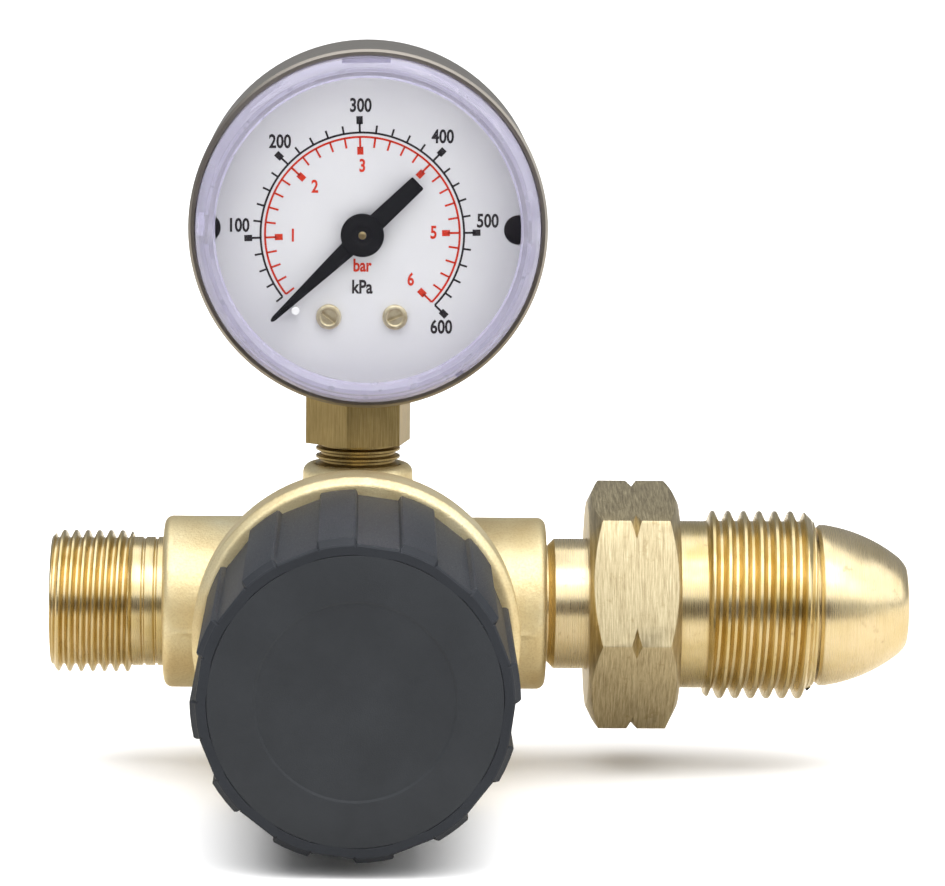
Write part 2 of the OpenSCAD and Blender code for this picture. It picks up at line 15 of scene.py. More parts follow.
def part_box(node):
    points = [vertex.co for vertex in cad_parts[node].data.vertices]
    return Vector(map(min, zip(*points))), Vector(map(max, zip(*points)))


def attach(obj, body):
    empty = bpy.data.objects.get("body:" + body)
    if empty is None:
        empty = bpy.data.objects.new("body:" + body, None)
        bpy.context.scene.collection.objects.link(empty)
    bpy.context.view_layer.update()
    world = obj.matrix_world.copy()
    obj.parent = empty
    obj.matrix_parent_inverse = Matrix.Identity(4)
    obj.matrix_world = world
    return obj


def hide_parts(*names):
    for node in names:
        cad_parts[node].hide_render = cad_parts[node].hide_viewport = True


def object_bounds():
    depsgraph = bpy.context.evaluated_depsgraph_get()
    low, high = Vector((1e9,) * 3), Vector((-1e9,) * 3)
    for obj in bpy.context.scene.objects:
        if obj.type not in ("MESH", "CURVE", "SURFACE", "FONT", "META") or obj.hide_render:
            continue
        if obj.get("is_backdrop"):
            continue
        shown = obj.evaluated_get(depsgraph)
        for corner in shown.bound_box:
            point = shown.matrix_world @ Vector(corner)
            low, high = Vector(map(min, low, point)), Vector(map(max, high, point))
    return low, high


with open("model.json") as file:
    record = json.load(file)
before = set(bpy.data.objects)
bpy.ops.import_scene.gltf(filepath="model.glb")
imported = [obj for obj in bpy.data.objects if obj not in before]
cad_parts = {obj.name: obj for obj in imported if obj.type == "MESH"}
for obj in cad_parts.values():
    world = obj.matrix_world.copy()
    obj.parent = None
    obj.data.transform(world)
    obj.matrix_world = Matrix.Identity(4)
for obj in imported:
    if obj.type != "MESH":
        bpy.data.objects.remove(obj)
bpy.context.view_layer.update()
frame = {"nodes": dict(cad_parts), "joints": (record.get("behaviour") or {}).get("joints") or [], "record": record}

# ---- places, from the frame ----

MM = 0.001
POINTER_AXIS = Vector(next(j["pos_m"] for j in frame["joints"] if j["name"] == "pointer_turn"))


def middle(node):
    low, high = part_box(node)
    return (low + high) / 2


KNOB_AXIS_X = middle("bonnet").x
CASE_AXIS = middle("gauge_lens")


def axis_frame(x, z, turn, about):
    """Millimetres about an axis through (x, 0, z) become metres in the frame."""
    return Matrix.Translation((x, 0, z)) @ Matrix.Rotation(math.radians(turn), 4, about) @ Matrix.Scale(MM, 4)


UPRIGHT = axis_frame(KNOB_AXIS_X, 0, 0, "Z")        # +Z stays up
FORWARD = axis_frame(KNOB_AXIS_X, 0, 90, "X")       # +Z becomes the way the knob faces
INWARD = axis_frame(KNOB_AXIS_X, 0, 90, "Y")        # +Z becomes the way to the inlet
OUTWARD = axis_frame(KNOB_AXIS_X, 0, -90, "Y")      # +Z becomes the way to the outlet
ON_POINTER = axis_frame(POINTER_AXIS.x, POINTER_AXIS.z, 90, "X")
ON_CASE = axis_frame(CASE_AXIS.x, CASE_AXIS.z, 90, "X")


def from_knob_axis(x):
    """Distance in millimetres from the knob axis of a place in the frame."""
    return abs(x - KNOB_AXIS_X) / MM


OUTLET_FACE = 22.3
INLET_FACE = 21.8
OUTLET_END = from_knob_axis(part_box("outlet_nipple")[0].x)
NUT_START = from_knob_axis(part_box("inlet_nut")[0].x)
NUT_END = from_knob_axis(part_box("inlet_nut")[1].x)
KNOB_REAR = -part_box("knob")[1].y / MM
KNOB_FRONT = -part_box("knob")[0].y / MM
CHAMBER_FRONT = -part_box("body")[0].y / MM
BODY_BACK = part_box("body")[1].y / MM
CHAMBER_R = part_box("body")[1].z / MM
DIAL_FRONT = -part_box("dial")[0].y / MM
LENS_FRONT = -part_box("gauge_lens")[0].y / MM
CASE_FRONT = -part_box("gauge_case")[0].y / MM


# ---- mesh helpers ----

WELD = 1e-4         # points closer than this, in millimetres, are one
LEFT_HAND = -1      # the way both threads climb


def add_piece(name, points, faces, place, body, slot, material, stands_for=(), crease=30):
    """A new object of the regulator, smooth except where its faces meet at more than crease degrees."""
    mesh = bpy.data.meshes.new(name)
    mesh.from_pydata([tuple(p) for p in points], [], [tuple(f) for f in faces])
    return add_mesh(name, mesh, place, body, material, stands_for, crease)


def add_mesh(name, mesh, place, body, material, stands_for=(), crease=30):
    """As add_piece, from a mesh in millimetres."""
    clean = bmesh.new()
    clean.from_mesh(mesh)
    bmesh.ops.remove_doubles(clean, verts=clean.verts, dist=WELD)
    bmesh.ops.dissolve_degenerate(clean, edges=clean.edges, dist=WELD)
    bmesh.ops.recalc_face_normals(clean, faces=clean.faces)
    clean.to_mesh(mesh)
    clean.free()
    mesh.transform(place)
    mesh.shade_smooth()
    mesh.set_sharp_from_angle(angle=math.radians(crease))
    piece = bpy.data.objects.new(name, mesh)
    bpy.context.scene.collection.objects.link(piece)
    mesh.materials.clear()
    mesh.materials.append(material)
    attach(piece, body)
    if stands_for:
        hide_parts(*stands_for)
    return piece


def rounded(corners, steps=5):
    """Outline through (x, y) corners; a corner given as (x, y, radius) is rounded."""
    outline = []
    for before, corner, after in zip([corners[-1]] + corners[:-1], corners, corners[1:] + [corners[0]]):
        if len(corner) == 2:
            outline.append(tuple(corner))
            continue
        here = Vector(corner[:2])
        back = (Vector(before[:2]) - here).normalized()
        ahead = (Vector(after[:2]) - here).normalized()
        half = back.angle(ahead) / 2
        centre = here + (back + ahead).normalized() * corner[2] / math.sin(half)
        start = here + back * corner[2] / math.tan(half) - centre
        end = here + ahead * corner[2] / math.tan(half) - centre
        turn = start.angle_signed(end)
        for i in range(steps + 1):
            outline.append(tuple(centre + Matrix.Rotation(-turn * i / steps, 2) @ start))
    return outline


def lathe(outline, steps=128, closed=False):
    """Turns an outline of (radius, height) points about Z. A closed outline makes a ring."""
    points, rows = [], []
    for r, z in outline:
        if r < 1e-6:
            rows.append([len(points)] * steps)
            points.append((0, 0, z))
            continue
        rows.append(range(len(points), len(points) + steps))
        for i in range(steps):
            a = math.tau * i / steps
            points.append((r * math.cos(a), r * math.sin(a), z))
    faces = []
    pairs = list(zip(rows, rows[1:])) + ([(rows[-1], rows[0])] if closed else [])
    for low, high in pairs:
        for i in range(steps):
            j = (i + 1) % steps
            face = list(dict.fromkeys([low[i], low[j], high[j], high[i]]))
            if len(face) > 2:
                faces.append(face)
    return points, faces


def thread(root, depth, pitch, start, end, bore, chamfer, steps=96, hand=LEFT_HAND):
    """Ring with a helical thread round it, between heights start and end; chamfer = (at start, at end)."""
    samples = 12
    root_share, flank_share, rounding = 0.16, 0.62, 0.4
    turns = math.ceil((end - start) / pitch) + 2
    last = turns * samples
    points, column_starts = [], []

    def height_of_ridge(part):
        climb = min(max((1 - abs(2 * part - 1) - root_share) / flank_share, 0), 1)
        return (1 - rounding) * climb + rounding * climb * climb * (3 - 2 * climb)

    for i in range(steps):
        column_starts.append(len(points))
        a = math.tau * i / steps
        for n in range(last + 1):
            free = start + pitch * (n / samples - 1.5 + hand * i / steps)
            z = min(max(free, start), end)
            part = ((z - start) / pitch + 0.5 - hand * i / steps) % 1
            r = root + depth * height_of_ridge(part)
            r = min(r, root + depth - chamfer[0] + (z - start), root + depth - chamfer[1] + (end - z))
            points.append((r * math.cos(a), r * math.sin(a), z))
    faces = []
    for i in range(steps):
        wrap = hand * samples if i == steps - 1 else 0
        here = column_starts[i]
        there = column_starts[(i + 1) % steps]
        for n in range(last):
            low, high = [min(max(m + wrap, 0), last) for m in (n, n + 1)]
            faces.append([here + n, there + low, there + high, here + n + 1])
    inner = len(points)
    for z in (start, end):
        for i in range(steps):
            a = math.tau * i / steps
            points.append((bore * math.cos(a), bore * math.sin(a), z))
    for i in range(steps):
        j = (i + 1) % steps
        faces.append([column_starts[i], inner + i, inner + j, column_starts[j]])
        faces.append([column_starts[i] + last, column_starts[j] + last, inner + steps + j, inner + steps + i])
        faces.append([inner + i, inner + steps + i, inner + steps + j, inner + j])
    return points, [list(dict.fromkeys(f)) for f in faces]


def joined(*shapes):
    """Several (points, faces) shapes as one."""
    points, faces = [], []
    for more_points, more_faces in shapes:
        faces += [[k + len(points) for k in face] for face in more_faces]
        points += more_points
    return points, faces


def extruded(outline, z0, z1):
    """Solid between heights z0 and z1 with an (x, y) outline."""
    count = len(outline)
    points = [(x, y, z) for z in (z0, z1) for x, y in outline]
    faces = [[i, (i + 1) % count, count + (i + 1) % count, count + i] for i in range(count)]
    return points, faces + [list(range(count)), list(range(count, 2 * count))]


def solid_mesh(shape, bevel=0, angle=30, segments=2, cutters=(), kept=()):
    """Mesh of a shape less its cutters, kept only where the others are, with its edges rounded."""
    helpers = []

    def helper(points, faces):
        mesh = bpy.data.meshes.new("helper")
        mesh.from_pydata([tuple(p) for p in points], [], [tuple(f) for f in faces])
        clean = bmesh.new()
        clean.from_mesh(mesh)
        bmesh.ops.recalc_face_normals(clean, faces=clean.faces)
        clean.to_mesh(mesh)
        clean.free()
        thing = bpy.data.objects.new("helper", mesh)
        bpy.context.scene.collection.objects.link(thing)
        helpers.append(thing)
        return thing

    base = helper(*shape)
    for operation, others in (("INTERSECT", kept), ("DIFFERENCE", cutters)):
        for other in others:
            boolean = base.modifiers.new("boolean", "BOOLEAN")
            boolean.operation = operation
            boolean.object = helper(*other)
            boolean.solver = "EXACT"
    if bevel:
        edges = base.modifiers.new("edges", "BEVEL")
        edges.width = bevel
        edges.segments = segments
        edges.limit_method = "ANGLE"
        edges.angle_limit = math.radians(angle)
        edges.use_clamp_overlap = True
    bpy.context.view_layer.update()
    result = bpy.data.meshes.new_from_object(base.evaluated_get(bpy.context.evaluated_depsgraph_get()))
    for thing in helpers:
        bpy.data.objects.remove(thing)
    return result


def turned_shape(shape, angle):
    """The shape turned about Z by an angle in degrees."""
    spin = Matrix.Rotation(math.radians(angle), 4, "Z")
    return [tuple(spin @ Vector(p)) for p in shape[0]], shape[1]


def hexagon_bar(across, z0, z1, turn):
    """Six-sided bar, measured across its flats."""
    r = across / 2 / math.cos(math.pi / 6)
    corners = [math.radians(turn) + math.tau * i / 6 for i in range(6)]
    return extruded([(r * math.cos(a), r * math.sin(a)) for a in corners], z0, z1)


# ---- material helpers ----


class Shader:
    """A material built by short calls. Its pattern coordinates are the frame's, in millimetres."""

    def __init__(self, name, metallic=0.0, **values):
        self.material = bpy.data.materials.new(name)
        self.material.use_nodes = True
        self.tree = self.material.node_tree
        self.surface = self.tree.nodes["Principled BSDF"]
        self.surface.inputs["Metallic"].default_value = metallic
        for key, value in values.items():
            self.surface.inputs[key.replace("_", " ")].default_value = value
        self.coordinates = self.tree.nodes.new("ShaderNodeTexCoord").outputs["Object"]

    def node(self, kind, inputs=None, **settings):
        made = self.tree.nodes.new("ShaderNode" + kind)
        for key, value in settings.items():
            setattr(made, key, value)
        for key, value in (inputs or {}).items():
            self.put(value, made.inputs[key])
        return made

    def put(self, value, socket):
        if isinstance(value, bpy.types.NodeSocket):
            self.tree.links.new(value, socket)
        else:
            socket.default_value = value

    def stretched(self, across=(1, 1, 1)):
        """Coordinates in millimetres, scaled along each axis, so that a small number draws a pattern out."""
        scale = [1000 * s for s in across]
        return self.node("Mapping", {"Vector": self.coordinates, "Scale": scale}).outputs["Vector"]

    def noise(self, scale=1.0, across=(1, 1, 1), detail=3.0, roughness=0.55):
        made = self.node("TexNoise", {"Vector": self.stretched(across), "Scale": scale, "Detail": detail,
                                      "Roughness": roughness})
        return made.outputs["Fac"]

    def ramp(self, value, *stops):
        """Colour or grey by value; each stop is (position, colour or grey)."""
        made = self.node("ValToRGB", {"Fac": value})
        band = made.color_ramp.elements
        while len(band) < len(stops):
            band.new(0.5)
        for element, (position, colour) in zip(band, stops):
            element.position = position
            element.color = (*colour, 1) if isinstance(colour, tuple) else (colour, colour, colour, 1)
        return made.outputs["Color"]

    def spread(self, value, low, high, start=0.0, end=1.0):
        return self.node("MapRange", {"Value": value, "From Min": start, "From Max": end, "To Min": low,
                                      "To Max": high}).outputs["Result"]

    def mix(self, share, a, b):
        made = self.node("Mix", data_type="RGBA")
        self.put(share, made.inputs[0])
        for socket, value in ((made.inputs[6], a), (made.inputs[7], b)):
            self.put((*value, 1) if isinstance(value, tuple) else value, socket)
        return made.outputs[2]

    def bump(self, *layers):
        """Adds bumps; each layer is (height, depth in millimetres)."""
        normal = None
        for height, depth in layers:
            inputs = {"Height": height, "Distance": depth * MM, "Strength": 1.0}
            if normal:
                inputs["Normal"] = normal
            normal = self.node("Bump", inputs).outputs["Normal"]
        self.put(normal, self.surface.inputs["Normal"])

    def finish(self, colour=None, roughness=None):
        for value, key in ((colour, "Base Color"), (roughness, "Roughness")):
            if value is not None:
                self.put(value, self.surface.inputs[key])
        return self.material


# ---- materials ----


def forged_brass():
    """Blasted forging: pale gold with a fine grain, small pits and a few cloudy patches."""
    s = Shader("forged_brass", metallic=1.0)
    grain = s.noise(4.0, detail=4)
    cloud = s.noise(0.12, detail=3)
    colour = s.ramp(cloud, (0.3, (0.82, 0.66, 0.36)), (0.55, (0.91, 0.79, 0.49)), (0.75, (0.95, 0.87, 0.61)))
    colour = s.mix(s.spread(grain, 0.0, 0.22, 0.45, 0.75), colour, (0.50, 0.36, 0.16))
    pits = s.noise(1.4, detail=2)
    s.bump((grain, 0.035), (pits, 0.03))
    return s.finish(colour, s.spread(grain, 0.44, 0.60, 0.3, 0.7))


def turned_brass(name, axis, pale=(0.80, 0.67, 0.41), deep=(0.66, 0.52, 0.24)):
    """Lathe-turned brass with fine lines round its axis and a little dark dirt."""
    s = Shader(name, metallic=1.0)
    along = [0.02, 0.02, 0.02]
    along["XYZ".index(axis)] = 9.0
    lines = s.noise(1.0, across=along, detail=4, roughness=0.7)
    broad = s.noise(0.25, detail=2)
    dirt = s.noise(0.8, detail=4, roughness=0.7)
    colour = s.mix(s.spread(broad, 0.0, 1.0, 0.3, 0.7), pale, deep)
    colour = s.mix(s.spread(lines, 0.0, 0.35, 0.5, 0.8), colour, (0.50, 0.37, 0.13))
    colour = s.mix(s.spread(dirt, 0.0, 0.5, 0.60, 0.75), colour, (0.30, 0.18, 0.08))
    s.bump((lines, 0.006))
    return s.finish(colour, s.spread(lines, 0.20, 0.36, 0.3, 0.7))


def nut_brass():
    """Bar brass with brushed scratches across the flats and a few dark handling marks."""
    s = Shader("nut_brass", metallic=1.0)
    scratches = s.noise(1.0, across=(6.0, 0.35, 0.35), detail=5, roughness=0.7)
    cross = s.noise(1.0, across=(0.3, 2.2, 2.2), detail=4, roughness=0.6)
    blots = s.noise(0.7, detail=4, roughness=0.7)
    colour = s.ramp(scratches, (0.32, (0.36, 0.28, 0.16)), (0.52, (0.58, 0.49, 0.30)),
                    (0.74, (0.80, 0.71, 0.48)))
    colour = s.mix(s.spread(blots, 0.0, 0.55, 0.60, 0.72), colour, (0.36, 0.27, 0.14))
    s.bump((scratches, 0.018), (cross, 0.01))
    return s.finish(colour, s.spread(scratches, 0.30, 0.48, 0.3, 0.7))


def olive_brass():
    """Drawn hexagon bar, tarnished, with a vertical grain."""
    s = Shader("olive_brass", metallic=1.0)
    grain = s.noise(1.0, across=(7.0, 7.0, 0.25), detail=5, roughness=0.7)
    cloud = s.noise(0.3, detail=3)
    colour = s.ramp(grain, (0.3, (0.22, 0.16, 0.07)), (0.55, (0.38, 0.29, 0.13)), (0.8, (0.52, 0.42, 0.20)))
    colour = s.mix(s.spread(cloud, 0.0, 0.4, 0.4, 0.7), colour, (0.22, 0.17, 0.07))
    s.bump((grain, 0.012))
    return s.finish(colour, s.spread(grain, 0.30, 0.48, 0.3, 0.7))


def small_brass(name, colour, dark, rough=(0.25, 0.4)):
    """Brass of the small parts, lightly mottled."""
    s = Shader(name, metallic=1.0)
    mottle = s.noise(1.2, detail=4)
    s.bump((mottle, 0.01))
    return s.finish(s.mix(s.spread(mottle, 0.0, 0.7, 0.4, 0.75), colour, dark), s.spread(mottle, *rough))


def steel(name, colour, across=(1, 1, 1), rough=(0.25, 0.42)):
    """Steel with darker streaks, drawn out where across is small."""
    s = Shader(name, metallic=1.0)
    lines = s.noise(1.0, across=across, detail=4, roughness=0.65)
    dark = tuple(0.72 * c for c in colour)
    s.bump((lines, 0.006))
    streaked = s.mix(s.spread(lines, 0.0, 0.8, 0.4, 0.75), colour, dark)
    return s.finish(streaked, s.spread(lines, *rough, 0.3, 0.7))


def black_plastic(name, colour, rough=(0.42, 0.60)):
    """Moulded plastic: charcoal with a fine spark-eroded texture."""
    s = Shader(name, Specular_IOR_Level=0.14)
    texture = s.noise(7.0, detail=3)
    cloud = s.noise(0.15, detail=3)
    lighter = tuple(1.15 * c for c in colour)
    s.bump((texture, 0.02))
    clouded = s.mix(s.spread(cloud, 0.0, 1.0, 0.35, 0.7), colour, lighter)
    return s.finish(clouded, s.spread(texture, *rough, 0.3, 0.7))


def clear_plastic():
    """Clear plastic with a violet tint, as the rim of the window."""
    s = Shader("clear_plastic", Transmission_Weight=0.72, IOR=1.49)
    haze = s.noise(0.6, detail=2)
    tint = s.mix(s.spread(haze, 0.0, 1.0, 0.3, 0.7), (0.74, 0.71, 0.88), (0.80, 0.78, 0.92))
    return s.finish(tint, s.spread(haze, 0.02, 0.06))


def window_plastic():
    """The flat of the window, thin enough to see straight through."""
    s = Shader("window_plastic", Alpha=0.05, IOR=1.49)
    haze = s.noise(0.25, detail=2)
    return s.finish(s.mix(haze, (0.05, 0.05, 0.07), (0.07, 0.07, 0.09)), s.spread(haze, 0.03, 0.08))


def painted(name, colour, shade, rough, shine=0.3):
    """Painted or printed surface with a faint orange-peel texture."""
    s = Shader(name, Specular_IOR_Level=shine)
    peel = s.noise(2.5, detail=2)
    cloud = s.noise(0.10, detail=3)
    s.bump((peel, 0.004))
    return s.finish(s.mix(s.spread(cloud, 0.0, 1.0, 0.3, 0.7), colour, shade), s.spread(peel, *rough))


FORGED = forged_brass()
TURNED_X = turned_brass("turned_brass_x", "X")
TURNED_Y = turned_brass("turned_brass_y", "Y")
NOSE = turned_brass("nose_brass", "X", (0.88, 0.74, 0.48), (0.80, 0.66, 0.38))
NUT = nut_brass()
OLIVE = olive_brass()
MOVEMENT = small_brass("movement_brass", (0.80, 0.66, 0.36), (0.55, 0.42, 0.20))
SCREW = small_brass("screw_brass", (0.88, 0.80, 0.58), (0.60, 0.48, 0.26), (0.45, 0.6))
TUBE = small_brass("tube_bronze", (0.70, 0.48, 0.30), (0.45, 0.28, 0.16))
SINTERED = small_brass("sintered_bronze", (0.60, 0.44, 0.25), (0.25, 0.17, 0.09))
SPRING = steel("spring_steel", (0.58, 0.58, 0.58))
CASE = steel("case_steel", (0.38, 0.35, 0.31), across=(0.05, 4.0, 0.05), rough=(0.30, 0.45))
KNOB = black_plastic("black_plastic", (0.021, 0.023, 0.027))
CAP = black_plastic("cap_plastic", (0.026, 0.028, 0.031), rough=(0.40, 0.54))
CLEAR = clear_plastic()
WINDOW = window_plastic()
DIAL = painted("dial_white", (0.71, 0.71, 0.72), (0.67, 0.67, 0.69), (0.35, 0.5))
PIN = painted("pin_white", (0.88, 0.88, 0.88), (0.80, 0.80, 0.80), (0.3, 0.4))
POINTER = painted("pointer_black", (0.005, 0.005, 0.005), (0.009, 0.009, 0.009), (0.4, 0.55), 0.05)
BLACK_INK = painted("black_ink", (0.030, 0.026, 0.028), (0.040, 0.034, 0.035), (0.5, 0.6), 0.1)
RED_INK = painted("red_ink", (0.62, 0.035, 0.015), (0.55, 0.045, 0.02), (0.5, 0.6), 0.1)
RUBBER = painted("rubber", (0.03, 0.03, 0.03), (0.045, 0.045, 0.045), (0.7, 0.8))
FIBRE = painted("fibre", (0.40, 0.16, 0.12), (0.32, 0.12, 0.09), (0.7, 0.8))

CAD_FINISH = {
    "forged_brass": FORGED, "turned_brass": TURNED_X, "nut_brass": NUT, "sintered_bronze": SINTERED,
    "olive_brass": OLIVE, "screw_brass": SCREW, "movement_brass": MOVEMENT, "tube_bronze": TUBE,
    "spring_steel": SPRING, "case_steel": CASE, "black_plastic": KNOB, "cap_plastic": CAP,
    "clear_plastic": CLEAR, "dial_white": DIAL, "pin_white": PIN, "pointer_black": POINTER,
    "rubber": RUBBER, "fibre": FIBRE,
}


def finish_cad_nodes():
    for part in frame["record"]["subparts"]:
        slots = frame["nodes"][part["node"]].data.materials
        finish = CAD_FINISH[part["material_slot"]]
        if part["node"] in ("bonnet", "slip_ring", "spring_carrier"):
            finish = TURNED_Y
        slots.clear()
        slots.append(finish)


# ---- forged body ----

BOSS_R, BOSS_EDGE = 9.95, 1.0
NECK_R, NECK_EDGE = 13.5, 2.5
NECK_START = CHAMBER_FRONT - 3
CONE_START, CONE_SLOPE = 12, 0.45       # the cone that joins the neck to the flange
CONE_MIDDLE, CONE_HALF = 14, 6.5
FLANGE_BACK, FLANGE_EDGE, FLANGE_BEVEL = 19.2, 0.25, 0.75
GAUGE_BOSS_R, GAUGE_BOSS_TOP, GAUGE_BOSS_EDGE = 6.35, 16.4, 1.1
SEAM_Z, SEAM_HEIGHT, SEAM_WIDTH = -2.0, 0.22, 0.32      # the forging's parting line
FILLET, FLANGE_FILLET = 2.6, 1.2
PASSAGE_EDGE = 0.2
PASSAGES = (                    # axis, radius, from, to
    (1, 15.05, -30, -20),       # spring housing
    (1, 12, -21, -16.5),        # under the diaphragm
    (1, 5, -17, -9),            # valve nozzle
    (1, 3.6, -10, 6),           # valve
    (0, 6.4, 12.8, 30),         # inlet socket
    (0, 6.4, -30, -14.3),       # outlet socket
    (0, 2.2, 0, 14),            # inlet to valve
    (0, 2.4, -15, -6),          # valve to outlet
    (2, 4.95, 9.6, 30),         # gauge thread
)


def smooth_union(a, b, size):
    """The nearer of two distances, blended where they are about equal."""
    near = np.clip(0.5 + 0.5 * (b - a) / size, 0, 1)
    return b * (1 - near) + a * near - size * near * (1 - near)


def drum(points, axis, radius, low, high, edge):
    """Distance to a round drum on an axis, with its edges rounded."""
    one, two = [k for k in range(3) if k != axis]
    radial = np.hypot(points[:, one], points[:, two]) - radius + edge
    end = np.abs(points[:, axis] - (low + high) / 2) - (high - low) / 2 + edge
    outside = np.hypot(np.maximum(radial, 0), np.maximum(end, 0))
    return outside + np.minimum(np.maximum(radial, end), 0) - edge


def body_distance(points):
    """Distance to the forging's skin in millimetres, below zero inside."""
    x, y, z = points.T
    from_axis = np.hypot(x, z)
    bosses = drum(points, 0, BOSS_R, -OUTLET_FACE, INLET_FACE, BOSS_EDGE)
    neck = drum(points, 1, NECK_R, -NECK_START, BODY_BACK, NECK_EDGE)
    cone_r = NECK_R + (np.clip(-y, CONE_START, FLANGE_BACK) - CONE_START) * CONE_SLOPE
    cone = np.maximum(from_axis - cone_r, np.abs(y + CONE_MIDDLE) - CONE_HALF) * 0.9
    flange = drum(points, 1, CHAMBER_R, -CHAMBER_FRONT, -FLANGE_BACK, FLANGE_EDGE)
    bevel = (from_axis - y - CHAMBER_R - CHAMBER_FRONT + FLANGE_BEVEL) * math.sqrt(0.5)
    flange = np.maximum(flange, bevel)
    gauge_boss = drum(points, 2, GAUGE_BOSS_R, 0, GAUGE_BOSS_TOP, GAUGE_BOSS_EDGE)
    skin = smooth_union(bosses, np.minimum(neck, cone), FILLET)
    skin = smooth_union(skin, gauge_boss, FILLET)
    seam = SEAM_HEIGHT * np.exp(-((z - SEAM_Z) / SEAM_WIDTH) ** 2)
    short_of_faces = np.clip(np.minimum(OUTLET_FACE - 1 + x, INLET_FACE - 1 - x), 0, 1)
    skin = skin - seam * short_of_faces
    skin = smooth_union(skin, flange, FLANGE_FILLET)
    for axis, radius, low, high in PASSAGES:
        skin = np.maximum(skin, -drum(points, axis, radius, low, high, PASSAGE_EDGE))
    return skin


def net_round(distance, low, high, step):
    """Mesh of the surface where a distance is zero, from a grid of cells, each point then moved onto it."""
    lines = [np.arange(a, b + step, step) for a, b in zip(low, high)]
    shape = [len(line) for line in lines]
    grid = np.stack(np.meshgrid(*lines, indexing="ij"), -1).reshape(-1, 3)
    inside = (distance(grid) < 0).reshape(shape)
    cells = [n - 1 for n in shape]
    count = np.zeros(cells, int)
    for i, j, k in itertools.product((0, 1), repeat=3):
        count += inside[i:cells[0] + i, j:cells[1] + j, k:cells[2] + k]
    mixed = (count > 0) & (count < 8)
    index = np.full(cells, -1)
    index[mixed] = np.arange(mixed.sum())
    points = np.array(low) + (np.argwhere(mixed) + 0.5) * step
    faces = []
    for axis in range(3):
        first = np.moveaxis(inside, axis, 0)
        cross = np.moveaxis(first[:-1] != first[1:], 0, axis)
        where = np.argwhere(cross)
        one, two = [k for k in range(3) if k != axis]
        where = where[(where[:, one] > 0) & (where[:, two] > 0)]
        ring = []
        for a, b in ((0, 0), (1, 0), (1, 1), (0, 1)):
            at = where.copy()
            at[:, one] -= a
            at[:, two] -= b
            ring.append(index[at[:, 0], at[:, 1], at[:, 2]])
        faces.append(np.stack(ring, 1))
    faces = np.concatenate(faces)
    near = np.concatenate([faces[:, [0, 1]], faces[:, [1, 2]], faces[:, [2, 3]], faces[:, [3, 0]]])
    near = np.concatenate([near, near[:, ::-1]])
    here, other = near.T
    degree = np.bincount(here, minlength=len(points))[:, None]
    probe, least_steep = 0.01, 0.3
    for smoothing in (0, 0.5, 0.5, 0.5, 0):
        if smoothing:
            total = np.stack([np.bincount(here, points[other, k], len(points)) for k in range(3)], 1)
            points = points + smoothing * (total / degree - points)
        for _ in range(3):
            value = distance(points)
            slope = np.stack([distance(points + shift) - value for shift in np.eye(3) * probe], 1) / probe
            steep = np.maximum((slope ** 2).sum(1), least_steep)
            points = points - (value / steep)[:, None] * slope
    return points, faces


def forging():
    """The body's skin with its fillets, its parting line and the passages inside."""
    low = (-OUTLET_FACE - 1, -CHAMBER_FRONT - 1, -CHAMBER_R - 1)
    high = (INLET_FACE + 1, BODY_BACK + 1, CHAMBER_R + 1)
    cell = 0.3
    points, faces = net_round(body_distance, low, high, cell)
    add_piece("forged_body", points.tolist(), faces.tolist(), UPRIGHT, "regulator", "forged_brass", FORGED,
              ["body"], crease=40)


# ---- connections ----


def outlet():
    """Outlet nipple: a shank with two fine grooves, a thread and a coned mouth."""
    thread_length = 9.4
    crest, pitch = 8.2, 1.337
    depth = 0.64 * pitch
    root = crest - depth
    thread_start = OUTLET_END - thread_length
    shank, plug_r, bore, mouth_r, mouth_depth = root + 0.13, 6.4, 4, 6.1, 2.1
    grooves = []
    for place, deep in ((0.8, 0.25), (2.2, 0.2)):
        z = OUTLET_FACE + place
        grooves += [(shank, z - 0.1, 0.1), (shank - deep, z, 0.1), (shank - deep, z + 0.2, 0.1),
                    (shank, z + 0.3, 0.1)]
    plug = [(bore, OUTLET_FACE - 8), (plug_r, OUTLET_FACE - 8), (plug_r, OUTLET_FACE - 0.02),
            (shank, OUTLET_FACE - 0.02)]
    under_thread = [(shank, thread_start, 0.1), (root - 0.25, thread_start + 0.3),
                    (root - 0.25, OUTLET_END, 0.3), (mouth_r, OUTLET_END, 0.15),
                    (bore, OUTLET_END - mouth_depth)]
    core = lathe(rounded(plug + grooves + under_thread, 3), 96, closed=True)
    helix = thread(root, depth, pitch, thread_start, OUTLET_END - 0.02, root - 0.6, (0.3, 0.75))
    add_piece("outlet_thread", *joined(core, helix), OUTWARD, "regulator", "turned_brass", TURNED_X,
              ["outlet_nipple"])


